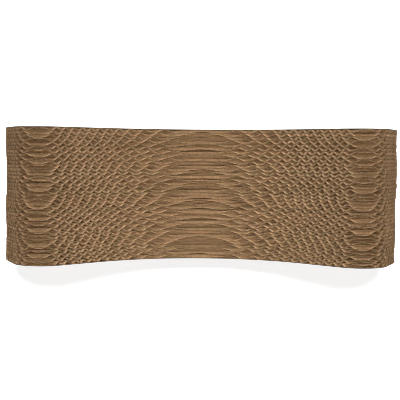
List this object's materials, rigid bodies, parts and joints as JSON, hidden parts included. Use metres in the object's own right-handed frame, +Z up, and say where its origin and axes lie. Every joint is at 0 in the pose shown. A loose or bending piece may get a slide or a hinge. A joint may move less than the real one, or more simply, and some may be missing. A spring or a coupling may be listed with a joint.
{
  "type": "cat scratcher",
  "caption": "Lounge-shaped cat scratcher of upright corrugated boards glued side by side, with a dished seat between two rounded crests.",
  "frame": {"origin": "middle of the footprint, on the floor that the two feet stand on", "axes": "+X along the lounge from one rounded end to the other, +Y across the stack of boards, +Z up"},
  "size_m": [0.558, 0.1864, 0.185],
  "materials": {
    "corrugated_kraft": "matte",
    "facing_kraft": "matte",
    "glue": "satin"
  },
  "bodies": {
    "root": {"board_01": "corrugated_kraft", "board_02": "corrugated_kraft", "board_03": "corrugated_kraft", "board_04": "corrugated_kraft", "board_05": "corrugated_kraft", "board_06": "corrugated_kraft", "board_07": "corrugated_kraft", "board_08": "corrugated_kraft", "board_09": "corrugated_kraft", "board_10": "corrugated_kraft", "board_11": "corrugated_kraft", "board_12": "corrugated_kraft", "board_13": "corrugated_kraft", "board_14": "corrugated_kraft", "board_15": "corrugated_kraft", "board_16": "corrugated_kraft", "board_17": "corrugated_kraft", "board_18": "corrugated_kraft", "board_19": "corrugated_kraft", "board_20": "corrugated_kraft", "board_21": "corrugated_kraft", "board_22": "corrugated_kraft", "board_23": "corrugated_kraft", "board_24": "corrugated_kraft", "board_25": "corrugated_kraft", "board_26": "corrugated_kraft", "board_27": "corrugated_kraft", "board_28": "corrugated_kraft", "board_29": "corrugated_kraft", "board_30": "corrugated_kraft", "board_31": "corrugated_kraft", "board_32": "corrugated_kraft", "board_33": "corrugated_kraft", "board_34": "corrugated_kraft", "board_35": "corrugated_kraft", "board_36": "corrugated_kraft", "board_37": "corrugated_kraft", "facing_front": "facing_kraft", "facing_back": "facing_kraft", "glue_stripes": "glue"}
  },
  "joints": []
}
